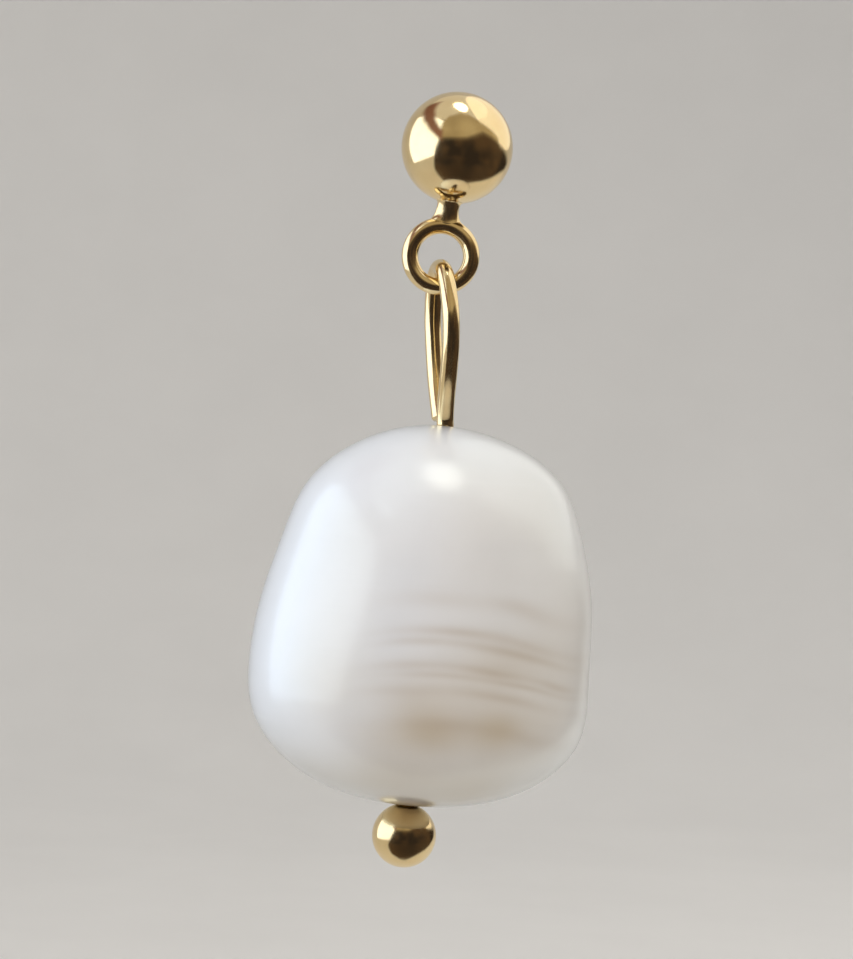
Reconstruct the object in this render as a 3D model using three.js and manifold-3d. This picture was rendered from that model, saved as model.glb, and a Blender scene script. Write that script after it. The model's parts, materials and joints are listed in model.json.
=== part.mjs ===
// A pearl drop earring: a gold ball stud with a ring soldered under it, and a baroque
// pearl on a ball-ended pin whose top is bent into a long loop that hangs on the ring.
// Millimetres, +Z up, +X to the viewer's right, -Y towards the viewer. The origin is
// where the post meets the back of the ball, on the post's axis.
import * as THREE from "three";
import { mergeVertices } from "three/addons/utils/BufferGeometryUtils.js";
import Module from "manifold-3d";

const wasm = await Module();
wasm.setup();

// Ball stud
const BALL_DIAMETER = 4.0;
const POST_DIAMETER = 0.8;
const POST_LENGTH = 10.0;
const POST_TIP_LENGTH = 0.5;
const POST_TIP_DIAMETER = 0.4;
const RING_OUTER_DIAMETER = 2.8;
const RING_WIRE = 0.6;
const NECK_LENGTH = 0.53; // from the ball's surface to the ring's
const NECK_WAIST = 0.72;
const NECK_FLARE = 1.02;
const NECK_ROOT = 0.42; // inside the ring's wire
const STUD_TURN_DEG = 6.3; // how far the ring is turned to the left from straight down

// Ball-ended pin
const PIN_WIRE = 0.62;
const PIN_BALL_DIAMETER = 2.3;
const LOOP_LENGTH = 5.98; // from the pearl's top to the outside of the loop's crown
const LOOP_WIDTH = 3.3;
const LOOP_CROWN_RADIUS = 1.05; // of the wire's centreline
const LOOP_YAW_DEG = 13.5; // the loop's front side is turned this far to the right
const LOOP_LEAN_DEG = 7.6; // the loop leans this far to the left of the pin's axis

// Pearl
const PEARL_HEIGHT = 13.6;
const PEARL_WIDTH = 12.2;
const PEARL_DEPTH = 11.5;
const PEARL_BORE = 0.84;
const PEARL_MASS_CENTRE = 0.53; // how far down its height its weight lies, as a share

// Clearances
const HANG_GAP = 0.08; // between the ring's wire and the loop's crown
const SEAT_GAP = 0.08; // between the pearl and the pin's ball
const LOOP_END_GAP = 0.1; // round the wire's cut end, to the stem and to the pearl

// Facets
const BALL_FACETS = { around: 32, down: 19 };
const PIN_BALL_FACETS = { around: 22, down: 13 };
const RING_FACETS = { around: 42, wire: 12 };
const PIN_FACETS = { along: 84, wire: 12 };
const PEARL_FACETS = { around: 44, down: 28 };
const TURNED_SIDES = 18; // of the post, the neck and the pearl's bore

// The pearl's sections, evenly spaced in angle from the top of the bore to the bottom.
// Each column is how full the pearl is on that side: its reach as a share of the reach
// of a round ball of the pearl's width or depth.
const PEARL_SECTIONS = [
  { right: 1.08, back: 1.08, left: 1.08, front: 1.08 },
  { right: 1.125, back: 1.09, left: 1.035, front: 0.99 },
  { right: 1.07, back: 1.045, left: 1.015, front: 0.985 },
  { right: 0.975, back: 0.96, left: 0.95, front: 0.965 },
  { right: 0.975, back: 0.96, left: 0.98, front: 0.955 },
  { right: 1.075, back: 1.055, left: 1.09, front: 1.06 },
  { right: 1.255, back: 1.21, left: 1.24, front: 1.22 },
  { right: 1.405, back: 1.365, left: 1.395, front: 1.385 },
  { right: 1.56, back: 1.56, left: 1.56, front: 1.56 },
];

// The two strands of the loop, from the stem up to the crown and down to the wire's cut
// end: across as a share of half the loop's width, up as a share of its height.
const STEM_STRAND = [
  { across: 0.02, up: 0.05 },
  { across: 0.2, up: 0.16 },
  { across: 0.58, up: 0.33 },
  { across: 0.93, up: 0.52 },
  { across: 1.0, up: 0.7 },
];
const END_STRAND = [
  { across: -1.0, up: 0.7 },
  { across: -1.0, up: 0.52 },
  { across: -0.88, up: 0.3 },
];
const CROWN_ANGLES_DEG = [60, 30, 0, -30, -60];

const GOLD = new THREE.MeshStandardMaterial({ color: 0xd9b36a, roughness: 0.15, metalness: 1 });
const NACRE = new THREE.MeshStandardMaterial({ color: 0xece9e4, roughness: 0.3, metalness: 0 });

const Y_AXIS = new THREE.Vector3(0, 1, 0);
const Z_AXIS = new THREE.Vector3(0, 0, 1);
const radians = THREE.MathUtils.degToRad;

// A closed geometry as a solid that can be joined and cut.
function solid(geometry) {
  const bare = geometry.clone();
  bare.deleteAttribute("normal");
  bare.deleteAttribute("uv");
  const merged = mergeVertices(bare, 1e-4);
  const corners = merged.index.array;
  const triangles = [];
  for (let i = 0; i < corners.length; i += 3) {
    const [a, b, c] = corners.slice(i, i + 3);
    if (a !== b && b !== c && c !== a) triangles.push(a, b, c);
  }
  return new wasm.Manifold(
    new wasm.Mesh({
      numProp: 3,
      vertProperties: merged.getAttribute("position").array,
      triVerts: new Uint32Array(triangles),
    }),
  );
}

// A solid as a named mesh.
function meshOf(name, shape, material) {
  const { vertProperties, triVerts } = shape.getMesh();
  const geometry = new THREE.BufferGeometry();
  geometry.setAttribute("position", new THREE.BufferAttribute(vertProperties, 3));
  geometry.setIndex(new THREE.BufferAttribute(triVerts, 1));
  geometry.computeVertexNormals();
  const mesh = new THREE.Mesh(geometry, material);
  mesh.name = name;
  return mesh;
}

// A body turned about the Z axis, from rows of radius and height from the bottom up.
function turned(rows, sides) {
  const outline = rows.map((row) => new THREE.Vector2(row.radius, row.height));
  return new THREE.LatheGeometry(outline, sides).rotateX(Math.PI / 2);
}

// Round wire swept along a path.
function wireAlong(path, diameter, facets) {
  const section = [];
  for (let side = 0; side < facets.wire; side += 1) {
    const angle = (side / facets.wire) * 2 * Math.PI;
    section.push(new THREE.Vector2(Math.cos(angle), Math.sin(angle)).multiplyScalar(diameter / 2));
  }
  const sweep = { steps: facets.along, extrudePath: path, bevelEnabled: false };
  return new THREE.ExtrudeGeometry(new THREE.Shape(section), sweep);
}

// The ball with its post behind it, and the ring soldered below it by a waisted neck.
function studSolid() {
  const ballRadius = BALL_DIAMETER / 2;
  const ball = new THREE.SphereGeometry(ballRadius, BALL_FACETS.around, BALL_FACETS.down);
  ball.rotateX(Math.PI / 2).translate(0, -ballRadius, 0);

  const post = turned(
    [
      { radius: 0, height: -POST_DIAMETER },
      { radius: POST_DIAMETER / 2, height: -POST_DIAMETER },
      { radius: POST_DIAMETER / 2, height: POST_LENGTH - POST_TIP_LENGTH },
      { radius: POST_TIP_DIAMETER / 2, height: POST_LENGTH },
      { radius: 0, height: POST_LENGTH },
    ],
    TURNED_SIDES,
  );
  post.rotateX(-Math.PI / 2);

  const ringRadius = (RING_OUTER_DIAMETER - RING_WIRE) / 2;
  const { wire, around } = RING_FACETS;
  const ring = new THREE.TorusGeometry(ringRadius, RING_WIRE / 2, wire, around);
  ring.rotateX(Math.PI / 2).translate(0, 0, -ballToRing());

  const neckEnd = NECK_LENGTH / 2 + RING_WIRE / 2;
  const neck = turned(
    [
      { radius: 0, height: -neckEnd },
      { radius: NECK_ROOT / 2, height: -neckEnd },
      { radius: (NECK_WAIST + NECK_ROOT) / 4, height: -NECK_LENGTH / 2 },
      { radius: NECK_WAIST / 2, height: 0 },
      { radius: (NECK_WAIST + NECK_FLARE) / 4, height: NECK_LENGTH / 4 },
      { radius: NECK_FLARE / 2, height: NECK_LENGTH / 2 },
      { radius: NECK_FLARE / 2, height: neckEnd },
      { radius: 0, height: neckEnd },
    ],
    TURNED_SIDES,
  );
  neck.translate(0, 0, -ballRadius - NECK_LENGTH / 2);

  const hanging = solid(ring).add(solid(neck));
  const { x, y, z } = ringCentre();
  const placed = hanging
    .translate(0, 0, ballToRing())
    .rotate(0, STUD_TURN_DEG, 0)
    .translate(x, y, z);
  return solid(ball).add(solid(post)).add(placed);
}

function ballToRing() {
  return BALL_DIAMETER / 2 + NECK_LENGTH + RING_OUTER_DIAMETER / 2;
}

function ringCentre() {
  const below = Z_AXIS.clone().multiplyScalar(-ballToRing());
  below.applyAxisAngle(Y_AXIS, radians(STUD_TURN_DEG));
  return below.add(new THREE.Vector3(0, -BALL_DIAMETER / 2, 0));
}

// Where the loop's crown hangs: its centreline just above the lowest wire of the ring.
function crownPlace() {
  const ringInnerRadius = RING_OUTER_DIAMETER / 2 - RING_WIRE;
  const lift = HANG_GAP + PIN_WIRE / 2 - ringInnerRadius;
  return ringCentre().add(new THREE.Vector3(0, 0, lift));
}

// How far the pin's axis leans from upright when the pearl's weight is under the crown.
function dropLean() {
  const loopHeight = LOOP_LENGTH - PIN_WIRE / 2;
  const aside = loopHeight * Math.sin(radians(LOOP_LEAN_DEG));
  const loopDrop = loopHeight * Math.cos(radians(LOOP_LEAN_DEG));
  return Math.atan2(aside, loopDrop + PEARL_HEIGHT * PEARL_MASS_CENTRE);
}

// The middle of the pin's ball, which the pearl's lower rim seats on.
function pinBallPlace() {
  const seat = Math.sqrt((PIN_BALL_DIAMETER / 2) ** 2 - (PEARL_BORE / 2) ** 2);
  return new THREE.Vector3(0, 0, -PEARL_HEIGHT - SEAT_GAP - seat);
}

// The pin's centreline above the pearl, in its own frame: a stem, one strand, the round
// crown, and the other strand down to the cut end beside the stem.
function loopPoints() {
  const loopHeight = LOOP_LENGTH - PIN_WIRE / 2;
  const halfWidth = (LOOP_WIDTH - PIN_WIRE) / 2;
  const strandPoint = (row) => ({ across: row.across * halfWidth, up: row.up * loopHeight });
  const crownPoint = (degrees) => ({
    across: LOOP_CROWN_RADIUS * Math.sin(radians(degrees)),
    up: loopHeight - LOOP_CROWN_RADIUS * (1 - Math.cos(radians(degrees))),
  });
  const end = { across: -(PIN_WIRE + LOOP_END_GAP), up: LOOP_END_GAP + PIN_WIRE / 4 };

  const across = new THREE.Vector3(0, -1, 0).applyAxisAngle(Z_AXIS, radians(LOOP_YAW_DEG));
  const route = [
    { across: 0, up: 0 },
    ...STEM_STRAND.map(strandPoint),
    ...CROWN_ANGLES_DEG.map(crownPoint),
    ...END_STRAND.map(strandPoint),
    end,
  ];
  return route.map((point) =>
    Z_AXIS.clone()
      .multiplyScalar(point.up)
      .addScaledVector(across, point.across)
      .applyAxisAngle(Y_AXIS, -radians(LOOP_LEAN_DEG)),
  );
}

// One wire from the ball under the pearl, through the bore, and round the loop.
function pinSolid() {
  const ballPlace = pinBallPlace();
  const { around, down } = PIN_BALL_FACETS;
  const ball = new THREE.SphereGeometry(PIN_BALL_DIAMETER / 2, around, down);
  ball.rotateX(Math.PI / 2).translate(...ballPlace);

  const points = loopPoints();
  const path = new THREE.CurvePath();
  path.add(new THREE.LineCurve3(ballPlace, points[0]));
  path.add(new THREE.CatmullRomCurve3(points));
  return solid(wireAlong(path, PIN_WIRE, PIN_FACETS)).add(solid(ball));
}

// How full a section is at a turn about the pearl's axis from its right side, running
// smoothly through the section's four sides.
function fullnessAt([right, back, left, front], turn) {
  const mean = (right + back + left + front) / 4;
  const oval = (right + left - back - front) / 4;
  const lopsided = ((right - left) / 2) * Math.cos(turn) + ((back - front) / 2) * Math.sin(turn);
  return mean + lopsided + oval * Math.cos(2 * turn);
}

// The pearl, lofted through its sections from pole to pole, with the pin's bore cut out.
function pearlSolid() {
  const sides = ["right", "back", "left", "front"];
  const stations = PEARL_SECTIONS.map((_, row) => row);
  const fullness = PEARL_SECTIONS.flatMap((row) => sides.map((side) => row[side]));
  const between = new Float64Array(sides.length);
  const smooth = new THREE.CubicInterpolant(stations, fullness, sides.length, between);
  const lastStation = PEARL_SECTIONS.length - 1;

  const { around, down: rings } = PEARL_FACETS;
  const pearl = new THREE.SphereGeometry(1, around, rings).rotateX(Math.PI / 2);
  const place = pearl.getAttribute("position");
  const point = new THREE.Vector3();
  for (let i = 0; i < place.count; i += 1) {
    point.fromBufferAttribute(place, i);
    const down = Math.acos(THREE.MathUtils.clamp(point.z, -1, 1)) / Math.PI;
    const section = smooth.evaluate(down * lastStation);
    const full = fullnessAt(section, Math.atan2(point.y, point.x));
    place.setXYZ(
      i,
      (point.x * full * PEARL_WIDTH) / 2,
      (point.y * full * PEARL_DEPTH) / 2,
      ((point.z - 1) * PEARL_HEIGHT) / 2,
    );
  }

  const boreRadius = PEARL_BORE / 2;
  const bore = new THREE.CylinderGeometry(boreRadius, boreRadius, 2 * PEARL_HEIGHT, TURNED_SIDES);
  bore.rotateX(Math.PI / 2);
  return solid(pearl).subtract(solid(bore));
}

// The drop hangs by the loop's crown and leans until its weight is under the crown.
function hangingDrop() {
  const lean = dropLean();
  const crownInDrop = Z_AXIS.clone().multiplyScalar(LOOP_LENGTH - PIN_WIRE / 2);
  crownInDrop.applyAxisAngle(Y_AXIS, lean - radians(LOOP_LEAN_DEG));

  const drop = new THREE.Group();
  drop.position.copy(crownPlace()).sub(crownInDrop);
  drop.rotation.y = lean;
  drop.add(meshOf("pin", pinSolid(), GOLD));
  drop.add(meshOf("pearl", pearlSolid(), NACRE));
  return drop;
}

const earring = new THREE.Group();
earring.add(meshOf("stud", studSolid(), GOLD));
earring.add(hangingDrop());

export default earring;
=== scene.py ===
# A pearl drop earring: a gold ball stud with a ring soldered under it, and a baroque
# pearl on a ball-ended pin whose top is bent into a long loop. Metres, +Z up, in the
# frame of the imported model.
import json
import math

import bmesh
import bpy
import numpy as np
from mathutils import Matrix, Quaternion, Vector, noise


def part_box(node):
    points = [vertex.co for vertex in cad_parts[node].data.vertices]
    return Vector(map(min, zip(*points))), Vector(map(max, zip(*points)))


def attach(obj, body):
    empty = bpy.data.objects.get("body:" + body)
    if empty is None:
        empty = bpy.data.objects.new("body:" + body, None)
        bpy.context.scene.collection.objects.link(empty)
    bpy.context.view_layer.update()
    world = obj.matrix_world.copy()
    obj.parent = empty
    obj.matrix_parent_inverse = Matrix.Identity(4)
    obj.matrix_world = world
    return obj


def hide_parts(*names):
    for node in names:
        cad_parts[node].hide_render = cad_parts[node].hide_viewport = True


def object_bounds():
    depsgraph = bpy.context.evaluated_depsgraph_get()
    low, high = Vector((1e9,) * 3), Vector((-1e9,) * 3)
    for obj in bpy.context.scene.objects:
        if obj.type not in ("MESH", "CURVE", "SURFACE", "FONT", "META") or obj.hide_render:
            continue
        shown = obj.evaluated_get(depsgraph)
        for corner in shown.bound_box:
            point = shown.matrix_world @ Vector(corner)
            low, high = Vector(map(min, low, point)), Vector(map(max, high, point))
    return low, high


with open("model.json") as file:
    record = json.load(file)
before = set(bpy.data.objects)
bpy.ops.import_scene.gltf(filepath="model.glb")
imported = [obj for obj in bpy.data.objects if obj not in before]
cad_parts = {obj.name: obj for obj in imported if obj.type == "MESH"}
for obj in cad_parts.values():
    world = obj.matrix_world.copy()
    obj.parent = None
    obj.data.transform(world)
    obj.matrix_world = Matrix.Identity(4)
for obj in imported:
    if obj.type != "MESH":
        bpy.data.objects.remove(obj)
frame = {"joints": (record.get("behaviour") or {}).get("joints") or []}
cad_low, cad_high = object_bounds()

MM = 0.001
X_AXIS = Vector((1, 0, 0))
Y_AXIS = Vector((0, 1, 0))
Z_AXIS = Vector((0, 0, 1))

# Where the drop hangs, from the frame's joints and boxes
joints = {joint["name"]: joint for joint in frame["joints"]}
PEARL_TOP = Vector(joints["pearl_turn"]["pos_m"])
PIN_AXIS = Vector(joints["pearl_turn"]["axis"]).normalized()
CROWN_CENTRE = Vector(joints["drop_swing"]["pos_m"])
SWING_AXIS = Vector(joints["drop_swing"]["axis"]).normalized()
stud_low, stud_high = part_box("stud")
pin_low, pin_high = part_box("pin")

# Stud
BALL_RADIUS = stud_high.z
BALL_CENTRE = Vector((0, -BALL_RADIUS, 0))
BALL_WAVE = 0.0025 * MM
BALL_WAVE_SIZE = 1.1 * MM
POST_RADIUS = 0.4 * MM
POST_TIP_RADIUS = 0.2 * MM
POST_TIP_LENGTH = 0.5 * MM
RING_OUTER_RADIUS = 1.4 * MM
RING_WIRE_RADIUS = 0.3 * MM
STUD_TURN = math.radians(6.3)
NECK_BALL_REACH = 0.5 * MM
NECK_RING_TURN = math.radians(25)
NECK_WIRE_TURN = math.radians(78)
NECK_PULL = 0.19 * MM
NECK_WAVE = 0.02 * MM
NECK_WAVE_SIZE = 0.3 * MM

# Pin
PIN_WIRE_RADIUS = 0.31 * MM
PIN_BALL_RADIUS = 1.15 * MM
PIN_BALL_WAVE = 0.002 * MM
PIN_BALL_WAVE_SIZE = 0.8 * MM
LOOP_HALF_WIDTH = 1.34 * MM
LOOP_CROWN_RADIUS = 1.05 * MM
LOOP_END_GAP = 0.1 * MM
CUT_CHAMFER = 0.05 * MM

# Pearl
PEARL_HEIGHT = 13.6 * MM
PEARL_HALF_WIDTH = 6.1 * MM
PEARL_HALF_DEPTH = 5.75 * MM
PEARL_BORE_RADIUS = 0.42 * MM
BORE_RIM = 0.05 * MM
LUMP_SIZE = 3.2 * MM
LUMP_HEIGHT = 0.018  # in millimetres, as is the next
GROWTH_LINE_HEIGHT = 0.005
GROWTH_LINE_SIZE = 6 * MM
GROWTH_LINE_SQUASH = 14  # how many times longer they are across than up
POLE_FADE = 2.5  # how steeply lumps, lines and grooves rise from nothing at the poles
WANDER_SIZE = 2.4 * MM  # the length over which the grooves wander

# The pearl's sections, evenly spaced in angle from the top of the bore to the bottom:
# its reach to each side, as a share of the reach of a round ball.
PEARL_SECTIONS = [
    {"right": 1.08, "back": 1.08, "left": 1.08, "front": 1.08},
    {"right": 1.125, "back": 1.09, "left": 1.035, "front": 0.99},
    {"right": 1.07, "back": 1.045, "left": 1.015, "front": 0.985},
    {"right": 0.975, "back": 0.96, "left": 0.95, "front": 0.965},
    {"right": 0.975, "back": 0.96, "left": 0.98, "front": 0.955},
    {"right": 1.075, "back": 1.055, "left": 1.09, "front": 1.06},
    {"right": 1.255, "back": 1.21, "left": 1.24, "front": 1.22},
    {"right": 1.405, "back": 1.365, "left": 1.395, "front": 1.385},
    {"right": 1.56, "back": 1.56, "left": 1.56, "front": 1.56},
]

# The loop's two strands: across as a share of half its width, up as a share of its
# height.
STEM_STRAND = [
    {"across": 0.02, "up": 0.05},
    {"across": 0.2, "up": 0.16},
    {"across": 0.58, "up": 0.33},
    {"across": 0.93, "up": 0.52},
    {"across": 1.0, "up": 0.7},
]
END_STRAND = [
    {"across": -1.0, "up": 0.7},
    {"across": -1.0, "up": 0.52},
    {"across": -0.88, "up": 0.3},
]
CROWN_ANGLES = [math.radians(degrees) for degrees in (60, 30, 0, -30, -60)]

# The growth grooves on the pearl's front: where each lies down the pearl's height, its
# half-width, its depth in millimetres and how brown it is.
GROOVES = [
    {"down": 0.436, "width": 0.022, "depth": 0.005, "tint": 0.22},
    {"down": 0.482, "width": 0.012, "depth": -0.005, "tint": 0.0},
    {"down": 0.518, "width": 0.014, "depth": 0.006, "tint": 0.26},
    {"down": 0.546, "width": 0.011, "depth": 0.007, "tint": 0.31},
    {"down": 0.574, "width": 0.010, "depth": -0.006, "tint": 0.0},
    {"down": 0.602, "width": 0.012, "depth": 0.006, "tint": 0.38},
    {"down": 0.624, "width": 0.008, "depth": 0.004, "tint": 0.30},
    {"down": 0.642, "width": 0.007, "depth": -0.005, "tint": 0.0},
    {"down": 0.664, "width": 0.013, "depth": 0.007, "tint": 0.42},
    {"down": 0.702, "width": 0.014, "depth": -0.007, "tint": 0.0},
    {"down": 0.752, "width": 0.020, "depth": 0.006, "tint": 0.22},
]
GROOVES_MIDDLE = math.radians(27)  # to the right of the front
GROOVES_SPREAD = math.radians(39)
GROOVES_BEND = 0.095  # how far they drop to each side of their crest
GROOVES_CREST = 0.2  # to the right of the front, as a share of the pearl's reach
GROOVES_WANDER = 0.012  # how far they wander up and down, as a share of the height
GROOVES_BROWN = 0.85  # the share of their brown that is even
GROOVES_PATCHES = 0.9  # the share that comes and goes along them

# Brown patches, with painted shade round the bottom and painted shade and reflection down
# the right side: degrees to the right of the front, place down the pearl's height, reach
# each way in degrees and in height, and strength.
BROWN_PATCHES_AND_SHADE = [
    {"right": 7, "down": 0.776, "across": 11, "high": 0.048, "tint": 0.48},
    {"right": 27, "down": 0.760, "across": 9, "high": 0.050, "tint": 0.46},
    {"right": -12, "down": 0.790, "across": 14, "high": 0.040, "tint": 0.12},
    {"right": 9, "down": 0.740, "across": 40, "high": 0.130, "tint": 0.36},
    {"right": 30, "down": 0.580, "across": 20, "high": 0.065, "tint": 0.16},
    # painted shade: a wide darkening round the bottom, where less light reaches
    {"right": 10, "down": 0.980, "across": 100, "high": 0.120, "tint": 0.42},
    # painted shade and painted reflection: a warm, darker band down the right side
    {"right": 88, "down": 0.540, "across": 26, "high": 0.240, "tint": 0.26},
]
PATCH_UNEVENNESS = 0.6  # how uneven the patches and the painted shade are
BROWN_TRACE = 0.04  # a trace of the brown tint all over the pearl
# how brown the bore's wall is
BROWN_IN_BORE = 0.3

GOLD_DARK = (0.82, 0.62, 0.32)
GOLD_BRIGHT = (0.88, 0.70, 0.39)
NACRE_DARK = (0.785, 0.77, 0.762)
NACRE_BRIGHT = (0.82, 0.805, 0.80)
PATCH_AND_SHADE_COLOUR = (0.50, 0.37, 0.21)
GROOVE_COLOUR = (0.47, 0.36, 0.26)

# The earring's own pieces, for the lights that shine on nothing else
earring = bpy.data.collections.new("earring")


def new_object(name, vertices, faces):
    """A smooth-shaded mesh object."""
    mesh = bpy.data.meshes.new(name)
    mesh.from_pydata([tuple(v) for v in vertices], [], faces)
    mesh.update()
    mesh.shade_smooth()
    piece = bpy.data.objects.new(name, mesh)
    bpy.context.scene.collection.objects.link(piece)
    return piece


def skin(name, rings, closes=False):
    """A closed surface through rings of points, capped at both ends or closed on itself."""
    count, sides = len(rings), len(rings[0])
    vertices = [point for ring in rings for point in ring]
    faces = []
    for row in range(count if closes else count - 1):
        here, there = row * sides, ((row + 1) % count) * sides
        for side in range(sides):
            across = (side + 1) % sides
            faces.append((here + side, here + across, there + across, there + side))
    if not closes:
        for start, turn in ((0, -1), ((count - 1) * sides, 1)):
            ring = [Vector(vertices[start + side]) for side in range(sides)]
            vertices.append(sum(ring, Vector()) / sides)
            middle = len(vertices) - 1
            for side in range(sides):
                pair = (start + side, start + (side + 1) % sides)
                faces.append((*pair[::turn], middle))
    piece = new_object(name, vertices, faces)
    face_outward(piece)
    return piece


def face_outward(piece):
    """Turns a closed mesh's faces outward."""
    shape = bmesh.new()
    shape.from_mesh(piece.data)
    bmesh.ops.recalc_face_normals(shape, faces=shape.faces)
    shape.to_mesh(piece.data)
    shape.free()


def settle(piece, body, node, material):
    """The piece rides on its body, stands for its node and gets its material."""
    piece.data.materials.append(material)
    earring.objects.link(piece)
    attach(piece, body)
    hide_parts(node)


def ring_of(centre, side, up, radius, sides):
    """A ring of points about a centre, in the plane of two unit vectors."""
    turns = [2 * math.pi * i / sides for i in range(sides)]
    return [centre + radius * (math.cos(t) * side + math.sin(t) * up) for t in turns]


def wavy(piece, height, size, seed):
    """Moves each vertex along its normal by smooth noise of that height and size."""
    mesh = piece.data
    normals = [vertex.normal.copy() for vertex in mesh.vertices]
    for vertex, normal in zip(mesh.vertices, normals):
        wave = noise.noise(vertex.co / size + Vector((seed, 0, 0)))
        vertex.co += normal * wave * height
    mesh.update()


# Materials


def material_tree(name):
    """A new node material: the material, its tree and its Principled shader."""
    material = bpy.data.materials.new(name)
    material.use_nodes = True
    tree = material.node_tree
    return material, tree, tree.nodes["Principled BSDF"]


def noise_node(tree, scale, detail=3, stretch=(1, 1, 1), distortion=0.0):
    """Smooth noise over the object's own coordinates; scale is in waves per millimetre."""
    place = tree.nodes.new("ShaderNodeTexCoord")
    mapping = tree.nodes.new("ShaderNodeMapping")
    mapping.inputs["Scale"].default_value = [s / MM for s in stretch]
    texture = tree.nodes.new("ShaderNodeTexNoise")
    texture.inputs["Scale"].default_value = scale
    texture.inputs["Detail"].default_value = detail
    texture.inputs["Distortion"].default_value = distortion
    tree.links.new(place.outputs["Object"], mapping.inputs["Vector"])
    tree.links.new(mapping.outputs["Vector"], texture.inputs["Vector"])
    return texture.outputs["Fac"]


def ramp(tree, source, stops):
    """A colour ramp over a value, from rows of place and colour."""
    colours = tree.nodes.new("ShaderNodeValToRGB")
    elements = colours.color_ramp.elements
    while len(elements) < len(stops):
        elements.new(0.5)
    for element, (place, colour) in zip(elements, stops):
        element.position = place
        element.color = (*colour, 1)
    tree.links.new(source, colours.inputs["Fac"])
    return colours.outputs["Color"]


def spread(tree, source, low, high):
    """Maps a value's middle range onto low to high."""
    mapping = tree.nodes.new("ShaderNodeMapRange")
    mapping.inputs["From Min"].default_value = 0.3
    mapping.inputs["From Max"].default_value = 0.7
    mapping.inputs["To Min"].default_value = low
    mapping.inputs["To Max"].default_value = high
    tree.links.new(source, mapping.inputs["Value"])
    return mapping.outputs["Result"]


def bump(tree, heights, shader):
    """Stacks bumps onto the shader's normal, from rows of height value and depth."""
    normal = None
    for height, depth in heights:
        relief = tree.nodes.new("ShaderNodeBump")
        relief.inputs["Distance"].default_value = depth
        tree.links.new(height, relief.inputs["Height"])
        if normal is not None:
            tree.links.new(normal, relief.inputs["Normal"])
        normal = relief.outputs["Normal"]
    tree.links.new(normal, shader.inputs["Normal"])


def gold_material(name, roughness, scratch_depth):
    """Yellow gold with faint colour change, a range of roughness and fine scratches."""
    material, tree, shader = material_tree(name)
    shader.inputs["Metallic"].default_value = 1.0
    tint = noise_node(tree, 0.9)
    gold = ramp(tree, tint, [(0.3, GOLD_DARK), (0.7, GOLD_BRIGHT)])
    tree.links.new(gold, shader.inputs["Base Color"])
    haze = noise_node(tree, 2.4, detail=5)
    tree.links.new(spread(tree, haze, *roughness), shader.inputs["Roughness"])
    scratches = noise_node(tree, 6.0, detail=2, stretch=(1, 1, 0.12), distortion=0.6)
    grain = noise_node(tree, 14.0)
    bump(tree, [(scratches, scratch_depth), (grain, scratch_depth / 2)], shader)
    return material


def nacre_material():
    """Lustrous white nacre: grooves, brown patches and painted shade tint it, over fine growth
    lines.
    """
    material, tree, shader = material_tree("nacre")
    cloud = noise_node(tree, 0.28, detail=4)
    white = ramp(tree, cloud, [(0.3, NACRE_DARK), (0.7, NACRE_BRIGHT)])

    def tinted(colour, attribute, tint):
        source = tree.nodes.new("ShaderNodeAttribute")
        source.attribute_name = attribute
        mix = tree.nodes.new("ShaderNodeMix")
        mix.data_type = "RGBA"
        mix.inputs["B"].default_value = (*tint, 1)
        tree.links.new(source.outputs["Fac"], mix.inputs["Factor"])
        tree.links.new(colour, mix.inputs["A"])
        return mix.outputs["Result"]

    patched_and_shaded = tinted(white, "patches_and_shade", PATCH_AND_SHADE_COLOUR)
    grooved = tinted(patched_and_shaded, "groove", GROOVE_COLOUR)
    tree.links.new(grooved, shader.inputs["Base Color"])

    haze = noise_node(tree, 1.1, detail=4)
    tree.links.new(spread(tree, haze, 0.29, 0.37), shader.inputs["Roughness"])
    lines = noise_node(tree, 1.0, detail=1, stretch=(0.12, 0.12, 2.4), distortion=0.3)
    bump(tree, [(lines, 0.008 * MM)], shader)

    shader.inputs["IOR"].default_value = 1.55
    shader.inputs["Coat Weight"].default_value = 1.0
    shader.inputs["Coat Roughness"].default_value = 0.19
    shader.inputs["Coat IOR"].default_value = 1.5
    shader.inputs["Thin Film Thickness"].default_value = 235
    shader.inputs["Thin Film IOR"].default_value = 1.35
    return material


# Stud


def make_ball(gold):
    """The stud's polished ball, round but for the faintest waves."""
    mesh = bpy.data.meshes.new("stud_ball")
    shape = bmesh.new()
    bmesh.ops.create_icosphere(shape, subdivisions=6, radius=BALL_RADIUS)
    bmesh.ops.translate(shape, vec=BALL_CENTRE, verts=shape.verts)
    shape.to_mesh(mesh)
    shape.free()
    mesh.shade_smooth()
    ball = bpy.data.objects.new("stud_ball", mesh)
    bpy.context.scene.collection.objects.link(ball)
    wavy(ball, BALL_WAVE, BALL_WAVE_SIZE, seed=3.1)
    settle(ball, "stud", "stud", gold)


def make_post(gold):
    """The straight post behind the ball, with a rounded tip and a small solder foot."""
    length = stud_high.y
    rows = [
        {"at": -0.5 * MM, "radius": POST_RADIUS * 1.5},
        {"at": 0.02 * MM, "radius": POST_RADIUS * 1.5},
        {"at": 0.08 * MM, "radius": POST_RADIUS * 1.28},
        {"at": 0.22 * MM, "radius": POST_RADIUS * 1.06},
        {"at": 0.42 * MM, "radius": POST_RADIUS},
        {"at": length - POST_TIP_LENGTH * 1.15, "radius": POST_RADIUS},
        {"at": length - POST_TIP_LENGTH, "radius": POST_RADIUS * 0.985},
        {"at": length - POST_TIP_LENGTH * 0.2, "radius": POST_TIP_RADIUS * 1.35},
        {"at": length - POST_TIP_LENGTH * 0.05, "radius": POST_TIP_RADIUS},
        {"at": length, "radius": POST_TIP_RADIUS * 0.6},
    ]
    rings = [ring_of(Y_AXIS * row["at"], X_AXIS, Z_AXIS, row["radius"], 40) for row in rows]
    settle(skin("stud_post", rings), "stud", "stud", gold)


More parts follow.
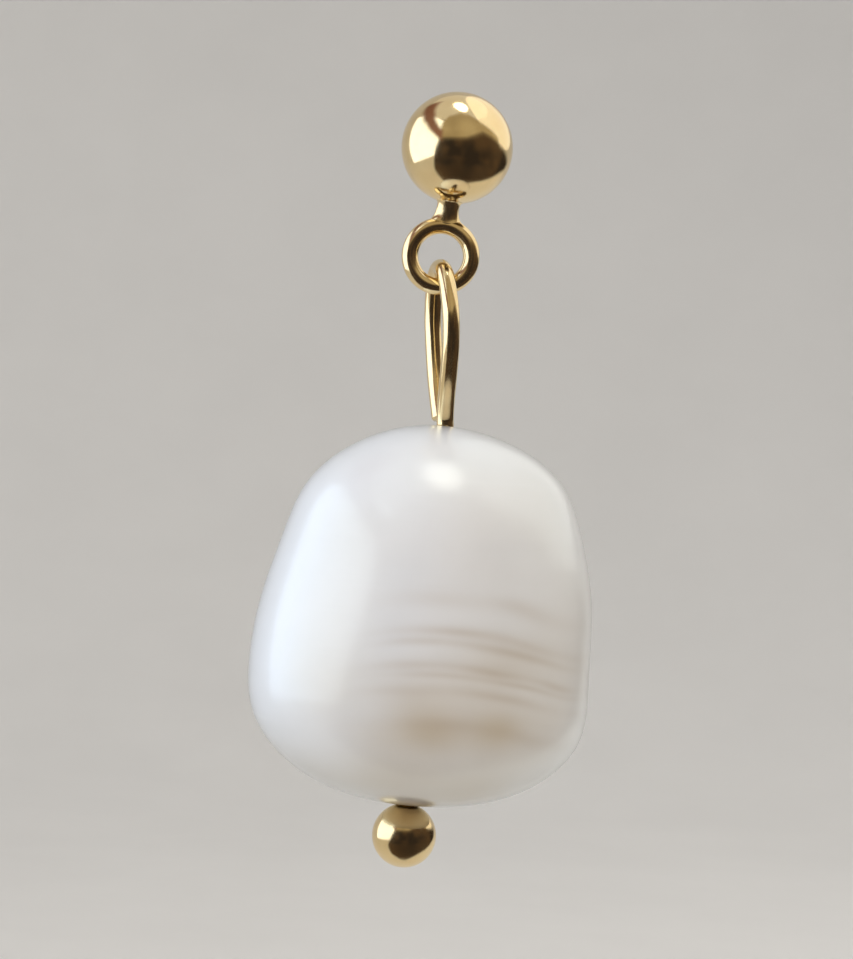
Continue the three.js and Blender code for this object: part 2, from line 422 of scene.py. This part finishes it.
def stud_frame():
    """The ring's centre and the directions along the neck and to the ring's side."""
    down = Vector((-math.sin(STUD_TURN), 0, -math.cos(STUD_TURN)))
    lift = stud_low.z + RING_OUTER_RADIUS - BALL_CENTRE.z
    centre = BALL_CENTRE + down * (lift / down.z)
    return centre, down, Y_AXIS.cross(down)


def ring_point(ring_turn, wire_turn):
    """A point on the ring's wire, by turns from its top and from its outside."""
    centre, down, side = stud_frame()
    outward = -down * math.cos(ring_turn) + side * math.sin(ring_turn)
    middle = centre + outward * (RING_OUTER_RADIUS - RING_WIRE_RADIUS)
    return middle + RING_WIRE_RADIUS * (
        outward * math.cos(wire_turn) - Y_AXIS * math.sin(wire_turn)
    )


def make_ring(gold):
    """The round-wire ring under the ball."""
    around, sides = 120, 28
    rings = []
    for step in range(around):
        turn = 2 * math.pi * step / around
        rings.append([ring_point(turn, 2 * math.pi * side / sides) for side in range(sides)])
    settle(skin("stud_ring", rings, closes=True), "stud", "stud", gold)


def make_neck(solder):
    """The solder between ball and ring: each strand flows off the ball and onto the wire."""
    _, down, side = stud_frame()
    around, along = 48, 20

    def on_ball(share, turn):
        tilt = math.asin(NECK_BALL_REACH / BALL_RADIUS) * share
        flat = side * math.cos(turn) - Y_AXIS * math.sin(turn)
        return BALL_CENTRE + BALL_RADIUS * (down * math.cos(tilt) + flat * math.sin(tilt))

    def on_ring(share, turn):
        return ring_point(
            NECK_RING_TURN * share * math.cos(turn), NECK_WIRE_TURN * share * math.sin(turn)
        )

    strands = []
    for step in range(around):
        turn = 2 * math.pi * step / around
        start, end = on_ball(1, turn), on_ring(1, turn)
        leave = start + (on_ball(0.98, turn) - start).normalized() * NECK_PULL
        arrive = end + (on_ring(0.98, turn) - end).normalized() * NECK_PULL
        inside = on_ball(0.9, turn) + down * -0.1 * MM
        strand = [inside]
        for row in range(along + 1):
            t = row / along
            weights = ((1 - t) ** 3, 3 * t * (1 - t) ** 2, 3 * t * t * (1 - t), t**3)
            points = (start, leave, arrive, end)
            strand.append(sum((w * p for w, p in zip(weights, points)), Vector()))
        strand.append(on_ring(0.9, turn) + down * 0.08 * MM)
        strands.append(strand)
    rings = [list(ring) for ring in zip(*strands)]
    neck = skin("stud_neck", rings)
    wavy(neck, NECK_WAVE, NECK_WAVE_SIZE, seed=8.2)
    settle(neck, "stud", "stud", solder)


# Pin


def loop_points():
    """The wire's centreline above the pearl: up one strand, over the crown, down the other."""
    up = (CROWN_CENTRE - PEARL_TOP).normalized()
    across = SWING_AXIS.cross(up)
    height = (CROWN_CENTRE - PEARL_TOP).length + LOOP_CROWN_RADIUS
    route = [(0, 0)]
    route += [(row["across"] * LOOP_HALF_WIDTH, row["up"] * height) for row in STEM_STRAND]
    for turn in CROWN_ANGLES:
        drop = LOOP_CROWN_RADIUS * (1 - math.cos(turn))
        route.append((LOOP_CROWN_RADIUS * math.sin(turn), height - drop))
    route += [(row["across"] * LOOP_HALF_WIDTH, row["up"] * height) for row in END_STRAND]
    route.append((-(2 * PIN_WIRE_RADIUS + LOOP_END_GAP), LOOP_END_GAP + PIN_WIRE_RADIUS / 2))
    return [PEARL_TOP + across * a + up * u for a, u in route]


def smooth_path(points, steps):
    """A centripetal Catmull-Rom curve through the points, with steps to each span."""
    first = points[0] * 2 - points[1]
    last = points[-1] * 2 - points[-2]
    knots = [first, *points, last]
    path = []
    for p0, p1, p2, p3 in zip(knots, knots[1:], knots[2:], knots[3:]):
        spans = [math.sqrt((b - a).length) for a, b in ((p0, p1), (p1, p2), (p2, p3))]
        leave = (p1 - p0) / spans[0] - (p2 - p0) / (spans[0] + spans[1])
        leave = (leave + (p2 - p1) / spans[1]) * spans[1]
        arrive = (p2 - p1) / spans[1] - (p3 - p1) / (spans[1] + spans[2])
        arrive = (arrive + (p3 - p2) / spans[2]) * spans[1]
        for step in range(steps):
            t = step / steps
            path.append(
                p1 * (2 * t**3 - 3 * t**2 + 1)
                + leave * (t**3 - 2 * t**2 + t)
                + p2 * (3 * t**2 - 2 * t**3)
                + arrive * (t**3 - t**2)
            )
    path.append(points[-1])
    return path


def sweep(name, path, radii, sides):
    """Round wire along a path, with a radius at each point and no twist."""
    ahead = (path[1] - path[0]).normalized()
    side = ahead.cross(X_AXIS if abs(ahead.x) < 0.7 else Y_AXIS).normalized()
    rings = []
    for i, (point, radius) in enumerate(zip(path, radii)):
        tangent = (path[min(i + 1, len(path) - 1)] - path[max(i - 1, 0)]).normalized()
        side = (side - tangent * side.dot(tangent)).normalized()
        rings.append(ring_of(point, side, tangent.cross(side), radius, sides))
    return skin(name, rings)


def pin_ball_centre():
    """The middle of the pin's ball, on the pin's axis at the pin's lower end."""
    height = pin_low.z + PIN_BALL_RADIUS
    return PEARL_TOP + PIN_AXIS * ((height - PEARL_TOP.z) / PIN_AXIS.z)


def make_pin(gold):
    """The wire through the pearl and round the loop, and the ball at its lower end."""
    ball_centre = pin_ball_centre()
    stem_steps, span_steps, wire_sides = 40, 18, 32
    stem = [ball_centre.lerp(PEARL_TOP, step / stem_steps) for step in range(stem_steps)]
    path = stem + smooth_path(loop_points(), span_steps)
    radii = [PIN_WIRE_RADIUS] * len(path)
    end, before = path[-1], path[-2]
    ahead = (end - before).normalized()
    path[-1] = end - ahead * CUT_CHAMFER
    path.append(end)
    radii.append(PIN_WIRE_RADIUS - CUT_CHAMFER)
    settle(sweep("pin_wire", path, radii, wire_sides), "pin", "pin", gold)

    ball_rows, ball_sides = 48, 64
    side = Y_AXIS.cross(PIN_AXIS)
    rings = []
    for row in range(1, ball_rows):
        turn = math.pi * row / ball_rows
        centre = ball_centre + PIN_AXIS * (PIN_BALL_RADIUS * math.cos(turn))
        reach = PIN_BALL_RADIUS * math.sin(turn)
        rings.append(ring_of(centre, side, Y_AXIS, reach, ball_sides))
    ball = skin("pin_ball", rings)
    wavy(ball, PIN_BALL_WAVE, PIN_BALL_WAVE_SIZE, seed=5.7)
    settle(ball, "pin", "pin", gold)


# Pearl


def section_waves():
    """The four sides' cosine series down the pearl, through the rows of the table."""
    sides = ("right", "back", "left", "front")
    table = np.array([[row[side] for side in sides] for row in PEARL_SECTIONS])
    orders = np.arange(len(table))
    turns = math.pi * orders / orders[-1]
    return np.linalg.solve(np.cos(np.outer(turns, orders)), table)


def pearl_surface(waves, down, around):
    """A point of the smooth pearl, by angle from its top and angle from its right side."""
    right, back, left, front = np.cos(down * np.arange(len(waves))) @ waves
    mean = (right + back + left + front) / 4
    oval = (right + left - back - front) / 4
    full = (
        mean
        + (right - left) / 2 * math.cos(around)
        + (back - front) / 2 * math.sin(around)
        + oval * math.cos(2 * around)
    )
    return Vector((
        PEARL_HALF_WIDTH * full * math.sin(down) * math.cos(around),
        PEARL_HALF_DEPTH * full * math.sin(down) * math.sin(around),
        PEARL_HEIGHT / 2 * (math.cos(down) - 1),
    ))


def grooves(share, front_turn, wander):
    """How deep the growth grooves lie there in millimetres, and how brown they look."""
    shown = math.exp(-(((front_turn - GROOVES_MIDDLE) / GROOVES_SPREAD) ** 4))
    depth, tint = 0.0, 0.0
    for number, row in enumerate(GROOVES):
        bend = GROOVES_BEND * (math.sin(front_turn) - GROOVES_CREST) ** 2
        middle = row["down"] + bend + GROOVES_WANDER * wander
        here = math.exp(-(((share - middle) / row["width"]) ** 2))
        patch = noise.noise(Vector((2.6 * front_turn, 5 * number, 3.7)))
        depth += row["depth"] * here
        tint += row["tint"] * here * (GROOVES_BROWN + GROOVES_PATCHES * patch)
    return depth * shown, tint * shown


def make_pearl(nacre):
    """The drilled pearl: sections from the table, growth grooves, and soft lumps."""
    waves = section_waves()
    rows, sides = 300, 300
    rim = (PEARL_BORE_RADIUS + BORE_RIM) / PEARL_HALF_WIDTH
    top = math.asin(rim / PEARL_SECTIONS[0]["right"])
    bottom = math.pi - math.asin(rim / PEARL_SECTIONS[-1]["right"])
    place = Matrix((Y_AXIS.cross(PIN_AXIS), Y_AXIS, PIN_AXIS)).transposed()

    rings, groove_tints, patches_and_shade_tints = [], [], []
    for row in range(rows + 1):
        down = top + (bottom - top) * row / rows
        ring = []
        for side in range(sides):
            around = 2 * math.pi * side / sides
            point = pearl_surface(waves, down, around)
            share = -point.z / PEARL_HEIGHT
            front_turn = (around + math.pi / 2 + math.pi) % (2 * math.pi) - math.pi
            outward = Vector((point.x, point.y, point.z + PEARL_HEIGHT / 2)).normalized()
            lump = noise.noise(point / LUMP_SIZE)
            wander = noise.noise(point / WANDER_SIZE + Vector((7, 0, 0)))
            depth, brown = grooves(share, front_turn, wander)
            squashed = Vector((point.x, point.y, GROWTH_LINE_SQUASH * point.z))
            lines = noise.noise(squashed / GROWTH_LINE_SIZE)
            fade = min(1.0, math.sin(down) * POLE_FADE)
            lift = (LUMP_HEIGHT * lump + GROWTH_LINE_HEIGHT * lines - depth) * fade * MM
            ring.append(point + outward * lift)
            groove_tints.append(brown)
            patches_and_shade_tints.append(patches_and_shade(share, front_turn, wander))
        rings.append(ring)
    rings += bore_rings(rings[-1], rings[0], sides)
    groove_tints += [0.0] * (len(rings) * sides - len(groove_tints))
    patches_and_shade_tints += [BROWN_IN_BORE] * (len(rings) * sides - len(patches_and_shade_tints))

    world_rings = [[PEARL_TOP + place @ point for point in ring] for ring in rings]
    pearl = skin("pearl_nacre", world_rings, closes=True)
    for name, values in (("groove", groove_tints), ("patches_and_shade", patches_and_shade_tints)):
        layer = pearl.data.attributes.new(name, "FLOAT", "POINT")
        layer.data.foreach_set("value", [max(0.0, min(1.0, value)) for value in values])
    settle(pearl, "pearl", "pearl", nacre)


def patches_and_shade(share, front_turn, wander):
    """How brown the patches, the painted shade and the painted reflection make the pearl
    there, over a trace of warmth all round.
    """
    total = BROWN_TRACE * (1 + wander)
    for row in BROWN_PATCHES_AND_SHADE:
        aside = (math.degrees(front_turn) - row["right"]) / row["across"]
        below = (share - row["down"]) / row["high"]
        here = math.exp(-aside * aside - below * below)
        total += row["tint"] * here * (1 + PATCH_UNEVENNESS * wander)
    return total


def bore_rings(bottom_ring, top_ring, sides):
    """The drilled hole's wall, from the bottom rim up to the top rim."""
    rings = []
    low = sum(point.z for point in bottom_ring) / sides
    high = sum(point.z for point in top_ring) / sides
    for z in (low + BORE_RIM, low * 0.5, high - BORE_RIM):
        ring = []
        for side in range(sides):
            turn = 2 * math.pi * side / sides
            reach = PEARL_BORE_RADIUS
            ring.append(Vector((reach * math.cos(turn), reach * math.sin(turn), z)))
        rings.append(ring)
    return rings


# Stage, lights and camera

CENTRE = (cad_low + cad_high) / 2
DROP = 26 * MM  # the floor's distance below the earring
STAGE_COLOUR = (0.90, 0.893, 0.878)
STAGE_RADIUS = 0.34
STAGE_FILLET = 0.14
STAGE_HEIGHT = 0.46
CAMERA_LENS = 100
CAMERA_SENSOR = 36
CAMERA_ROLL = math.radians(2.4)
CAMERA_ASIDE = -0.6 * MM  # how far to the right of the ball it aims
WORLD_COLOUR = (1.0, 0.98, 0.965)
WORLD_STRENGTH = 0.68
FILL = 0.81  # how much of the picture's height the earring takes
CARD_LIFT = 1 * MM  # a card's distance above the floor
CARD_SOFT_EDGE = 7  # how many degrees a card takes to fade in from its edge

# The glowing cards that paint reflections into the earring's gloss and show nowhere else:
# lower and upper edge at each azimuth, in degrees
FRONT_CARD = [
    {"azimuth": -64, "low": -64, "high": -42},
    {"azimuth": -50, "low": -76, "high": -14},
    {"azimuth": -41, "low": -84, "high": 10},
    {"azimuth": -34, "low": -86, "high": 20},
    {"azimuth": 20, "low": -88, "high": 23},
    {"azimuth": 40, "low": -86, "high": 30},
    {"azimuth": 55, "low": -80, "high": 34},
    {"azimuth": 75, "low": -64, "high": 26},
    {"azimuth": 96, "low": -48, "high": 16},
    {"azimuth": 120, "low": -24, "high": 8},
    {"azimuth": 140, "low": -6, "high": 2},
]
UPPER_CARD = [
    {"azimuth": -42, "low": -6, "high": 46},
    {"azimuth": -28, "low": -6, "high": 64},
    {"azimuth": 10, "low": -6, "high": 74},
    {"azimuth": 38, "low": -6, "high": 68},
    {"azimuth": 62, "low": -6, "high": 48},
    {"azimuth": 96, "low": -6, "high": 22},
]
SIDE_CARD = [
    {"azimuth": -140, "low": 46, "high": 70},
    {"azimuth": -105, "low": 42, "high": 67},
    {"azimuth": -77, "low": 36, "high": 62},
    {"azimuth": -50, "low": 22, "high": 48},
    {"azimuth": -28, "low": 8, "high": 32},
]

# What each card glows with, from its darkest to its brightest: the front card paints dark
# reflections, the upper and side cards warm and reddish ones
CARDS = [
    {
        "name": "front_card", "edges": FRONT_CARD, "distance": 0.14,
        "low_glow": (0.032, 0.026, 0.024), "high_glow": (0.088, 0.060, 0.040),
    },
    {
        "name": "upper_card", "edges": UPPER_CARD, "distance": 0.145,
        "low_glow": (0.36, 0.30, 0.20), "high_glow": (0.48, 0.41, 0.28),
    },
    {
        "name": "side_card", "edges": SIDE_CARD, "distance": 0.1,
        "low_glow": (0.20, 0.10, 0.08), "high_glow": (0.28, 0.15, 0.12),
    },
]

# The lights: azimuth, elevation and roll in degrees, distance and size in metres
LIGHTS = [
    {
        "name": "window", "shape": "RECTANGLE", "azimuth": -75, "elevation": 9, "roll": 8,
        "distance": 0.12, "size": (0.195, 0.22), "radiance": 1.35, "colour": (0.68, 0.80, 1.0),
        "shows_in_gloss": True, "earring_only": True,
    },
    {
        "name": "top_light", "shape": "ELLIPSE", "azimuth": 30, "elevation": 84, "roll": 0,
        "distance": 0.15, "size": (0.042, 0.068), "radiance": 2.3, "colour": (1.0, 0.97, 0.94),
        "shows_in_gloss": True, "earring_only": False,
    },
    {
        "name": "back_light", "shape": "ELLIPSE", "azimuth": 112, "elevation": 42, "roll": 0,
        "distance": 0.18, "size": (0.30, 0.26), "radiance": 0.38, "colour": (1.0, 0.97, 0.90),
        "shows_in_gloss": True, "earring_only": False,
    },
    {
        "name": "front_fill", "shape": "ELLIPSE", "azimuth": 20, "elevation": -2, "roll": 0,
        "distance": 0.27, "size": (0.27, 0.27), "radiance": 0.82, "colour": (1.0, 0.975, 0.94),
        "shows_in_gloss": False, "earring_only": True,
    },
]


def towards(azimuth, elevation):
    """A unit vector: azimuth 0 is the camera's side, 90 the right."""
    a, e = math.radians(azimuth), math.radians(elevation)
    return Vector((math.sin(a) * math.cos(e), -math.cos(a) * math.cos(e), math.sin(e)))


def plain_material(name, colour):
    """A matt colour with faint mottling."""
    material, tree, shader = material_tree(name)
    mottle = noise_node(tree, 0.05)
    dark = tuple(c * 0.97 for c in colour)
    mottled = ramp(tree, mottle, [(0.3, dark), (0.7, colour)])
    tree.links.new(mottled, shader.inputs["Base Color"])
    shader.inputs["Roughness"].default_value = 0.9
    return material


def make_stage():
    """A pale floor that curves up into a pale wall all round."""
    fillet_steps, sides = 12, 96
    floor = cad_low.z - DROP
    flat = STAGE_RADIUS - STAGE_FILLET
    rows = [(reach, floor) for reach in (0.004, 0.06, flat)]
    for step in range(1, fillet_steps + 1):
        turn = math.pi / 2 * step / fillet_steps
        rise = STAGE_FILLET * (1 - math.cos(turn))
        rows.append((flat + STAGE_FILLET * math.sin(turn), floor + rise))
    rows.append((STAGE_RADIUS, floor + STAGE_HEIGHT))
    vertices = [Vector((0, 0, floor))]
    for reach, height in rows:
        vertices += ring_of(Vector((0, 0, height)), X_AXIS, Y_AXIS, reach, sides)
    faces = [(0, 1 + side, 1 + (side + 1) % sides) for side in range(sides)]
    for row in range(len(rows) - 1):
        here, there = 1 + row * sides, 1 + (row + 1) * sides
        for side in range(sides):
            across = (side + 1) % sides
            faces.append((here + side, there + side, there + across, here + across))
    stage = new_object("stage", vertices, faces)
    stage.data.materials.append(plain_material("stage_pale", STAGE_COLOUR))


def make_card(name, edges, distance, low_glow, high_glow):
    """A glowing card bent round the earring that paints reflections into its gloss and shows
    nowhere else; edges are a table of columns.
    """
    across, up = 48, 20
    azimuths = [row["azimuth"] for row in edges]
    vertices, faces, fades = [], [], []
    depth = CENTRE.z - cad_low.z + DROP - CARD_LIFT
    for row in range(up + 1):
        for column in range(across + 1):
            azimuth = azimuths[0] + (azimuths[-1] - azimuths[0]) * column / across
            low = np.interp(azimuth, azimuths, [row["low"] for row in edges])
            high = np.interp(azimuth, azimuths, [row["high"] for row in edges])
            ahead = towards(azimuth, low + (high - low) * row / up)
            reach = min(distance, depth / max(1e-6, -ahead.z))
            vertices.append(CENTRE + ahead * reach)
            aside = min(column, across - column) / across * (azimuths[-1] - azimuths[0])
            above = min(row, up - row) / up * (high - low)
            fades.append(min(1.0, aside / CARD_SOFT_EDGE, above / CARD_SOFT_EDGE))
    for row in range(up):
        for column in range(across):
            here = row * (across + 1) + column
            faces.append((here, here + 1, here + across + 2, here + across + 1))
    card = new_object(name, vertices, faces)
    card.data.attributes.new("fade", "FLOAT", "POINT").data.foreach_set("value", fades)
    material, tree, shader = material_tree(name)
    fade = tree.nodes.new("ShaderNodeAttribute")
    fade.attribute_name = "fade"
    tree.links.new(fade.outputs["Fac"], shader.inputs["Alpha"])
    blotches = noise_node(tree, 0.012, detail=1)
    glow = ramp(tree, blotches, [(0.35, low_glow), (0.65, high_glow)])
    tree.links.new(glow, shader.inputs["Emission Color"])
    shader.inputs["Emission Strength"].default_value = 1.0
    shader.inputs["Base Color"].default_value = (0, 0, 0, 1)
    shader.inputs["Specular IOR Level"].default_value = 0.0
    material.cycles.emission_sampling = "NONE"
    card.data.materials.append(material)
    card.visible_camera = False
    card.visible_diffuse = False
    card.visible_shadow = False
    card.visible_transmission = False


def make_light(row):
    """A flat light from a row of the table: it looks at the earring, unseen by the camera."""
    light = bpy.data.lights.new(row["name"], "AREA")
    light.shape = row["shape"]
    width, height = row["size"]
    light.size, light.size_y = width, height
    light.energy = 4 * width * height * row["radiance"]
    light.color = row["colour"]
    lamp = bpy.data.objects.new(row["name"], light)
    bpy.context.scene.collection.objects.link(lamp)
    aim = towards(row["azimuth"], row["elevation"])
    lamp.location = CENTRE + aim * row["distance"]
    lamp.rotation_mode = "QUATERNION"
    turn = Quaternion(Z_AXIS, math.radians(row["roll"]))
    lamp.rotation_quaternion = aim.to_track_quat("Z", "Y") @ turn
    lamp.visible_camera = False
    lamp.visible_glossy = row["shows_in_gloss"]
    if row["earring_only"]:
        lamp.light_linking.receiver_collection = earring


def make_world():
    """Soft pale light from all round, and a plain tone curve."""
    world = bpy.data.worlds.new("world")
    bpy.context.scene.world = world
    world.use_nodes = True
    background = world.node_tree.nodes["Background"]
    background.inputs["Color"].default_value = (*WORLD_COLOUR, 1)
    background.inputs["Strength"].default_value = WORLD_STRENGTH
    bpy.context.scene.view_settings.view_transform = "Standard"


def make_camera():
    """Level with the earring and square to its front, rolled a little as in the photo."""
    data = bpy.data.cameras.new("camera")
    data.lens = CAMERA_LENS
    data.sensor_width = CAMERA_SENSOR
    data.clip_start, data.clip_end = 0.005, 5
    camera = bpy.data.objects.new("camera", data)
    bpy.context.scene.collection.objects.link(camera)
    height = cad_high.z - cad_low.z
    distance = height / FILL * CAMERA_LENS / CAMERA_SENSOR
    right = Vector((math.cos(CAMERA_ROLL), 0, math.sin(CAMERA_ROLL)))
    up = Vector((-math.sin(CAMERA_ROLL), 0, math.cos(CAMERA_ROLL)))
    turn = Matrix((right, up, right.cross(up))).transposed().to_4x4()
    aim = Vector((CAMERA_ASIDE, BALL_CENTRE.y, CENTRE.z))
    camera.matrix_world = Matrix.Translation(aim - Y_AXIS * distance) @ turn
    bpy.context.scene.camera = camera


make_camera()
make_world()
make_stage()
for light_row in LIGHTS:
    make_light(light_row)
for card_row in CARDS:
    make_card(**card_row)

bright_gold = gold_material("polished_gold", (0.09, 0.15), scratch_depth=0.0006 * MM)
wire_gold = gold_material("drawn_gold", (0.09, 0.20), scratch_depth=0.0015 * MM)
solder_gold = gold_material("soldered_gold", (0.14, 0.25), scratch_depth=0.004 * MM)
make_ball(bright_gold)
make_post(wire_gold)
make_ring(wire_gold)
make_neck(solder_gold)
make_pin(wire_gold)
make_pearl(nacre_material())
